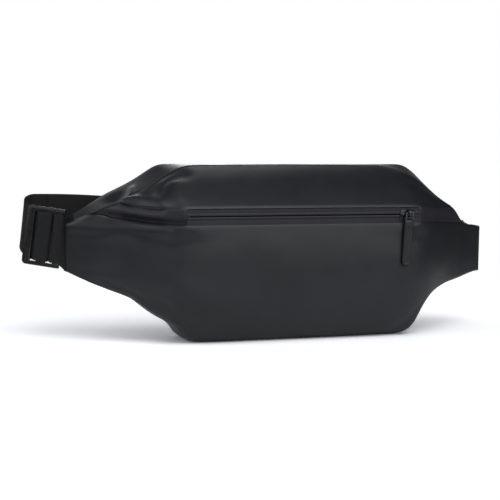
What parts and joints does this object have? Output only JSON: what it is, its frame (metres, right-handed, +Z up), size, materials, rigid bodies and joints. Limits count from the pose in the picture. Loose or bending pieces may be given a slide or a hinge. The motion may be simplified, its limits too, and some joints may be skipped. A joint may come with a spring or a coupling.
{
  "type": "zip waist bag",
  "caption": "Coated waist bag with a front zip, slanted top, tapering wings, webbing belt, ladder-lock adjuster and side-release buckle.",
  "frame": {"origin": "middle of the flat base, under the middle of the zip", "axes": "+Z up, +X to the right as seen from the front, the zip faces -Y and the wearer is on the +Y side"},
  "size_m": [0.3935, 0.0938, 0.138],
  "materials": {
    "coated": "satin coating",
    "zip_fabric": "matt coating",
    "webbing": "woven",
    "elastic": "knitted",
    "foam": "matt",
    "lining": "plain weave",
    "board": "matt",
    "hardware": "satin",
    "zip_coil": "satin",
    "zip_metal": "gloss black",
    "pull_rubber": "matt"
  },
  "bodies": {
    "shell": {"front_panel": "coated", "top_panel": "coated", "top_gusset": "coated", "base_panel": "coated", "back_panel": "coated", "back_foam": "foam", "back_lining": "lining", "base_board": "board", "zip_tab_left": "zip_fabric", "zip_tab_right": "zip_fabric", "zip_tape_upper": "zip_fabric", "zip_tape_lower": "zip_fabric", "zip_coil_upper": "zip_coil", "zip_coil_lower": "zip_coil", "zip_stop_left": "zip_metal", "zip_stop_right": "zip_metal", "wing_webbing_left": "webbing", "strap_bend": "webbing", "strap_tail": "webbing", "strap_main": "webbing", "strap_fold": "webbing", "wing_webbing_right": "webbing", "buckle_female": "hardware"},
    "zip_slider": {"zip_slider": "zip_metal"},
    "zip_pull": {"zip_puller": "zip_metal", "pull_tab": "pull_rubber"},
    "adjuster": {"adjuster": "hardware", "strap_bite": "webbing"},
    "buckle_male": {"buckle_male": "hardware", "strap_lead": "webbing"},
    "prong_lower": {"prong_lower": "hardware"},
    "prong_upper": {"prong_upper": "hardware"},
    "strap_keeper": {"strap_keeper": "elastic"}
  },
  "joints": [
    {"name": "zip_slide", "type": "slide", "parent": "shell", "child": "zip_slider", "axis": [1, 0, 0], "range_m": [-0.1685, 0]},
    {"name": "pull_swing", "type": "hinge", "parent": "zip_slider", "child": "zip_pull", "pos_m": [0.0844, -0.0452, 0.09905], "axis": [-0.9976, 0, 0.0698], "range_deg": [0, 150]},
    {"name": "adjuster_turn", "type": "hinge", "parent": "shell", "child": "adjuster", "pos_m": [-0.18411, 0.0162, 0.0801], "axis": [-0.1271, 0.0566, -0.9903], "range_deg": [-5, 5], "deforming": ["strap_bend", "strap_tail"]},
    {"name": "buckle_pull", "type": "slide", "parent": "shell", "child": "buckle_male", "axis": [-0.9962, 0, 0.0872], "range_m": [0, 0.022], "deforming": ["strap_fold"]},
    {"name": "prong_lower_squeeze", "type": "hinge", "parent": "buckle_male", "child": "prong_lower", "pos_m": [0.1281, 0.0306, 0.05454], "axis": [0, -1, 0], "range_deg": [0, 14], "stiffness_Nm_per_rad": 0.3},
    {"name": "prong_upper_squeeze", "type": "hinge", "parent": "buckle_male", "child": "prong_upper", "pos_m": [0.13071, 0.0306, 0.08442], "axis": [0, 1, 0], "range_deg": [0, 14], "stiffness_Nm_per_rad": 0.3},
    {"name": "keeper_slide", "type": "slide", "parent": "shell", "child": "strap_keeper", "axis": [0.9962, 0, -0.0872], "range_m": [-0.05, 0.05]}
  ]
}
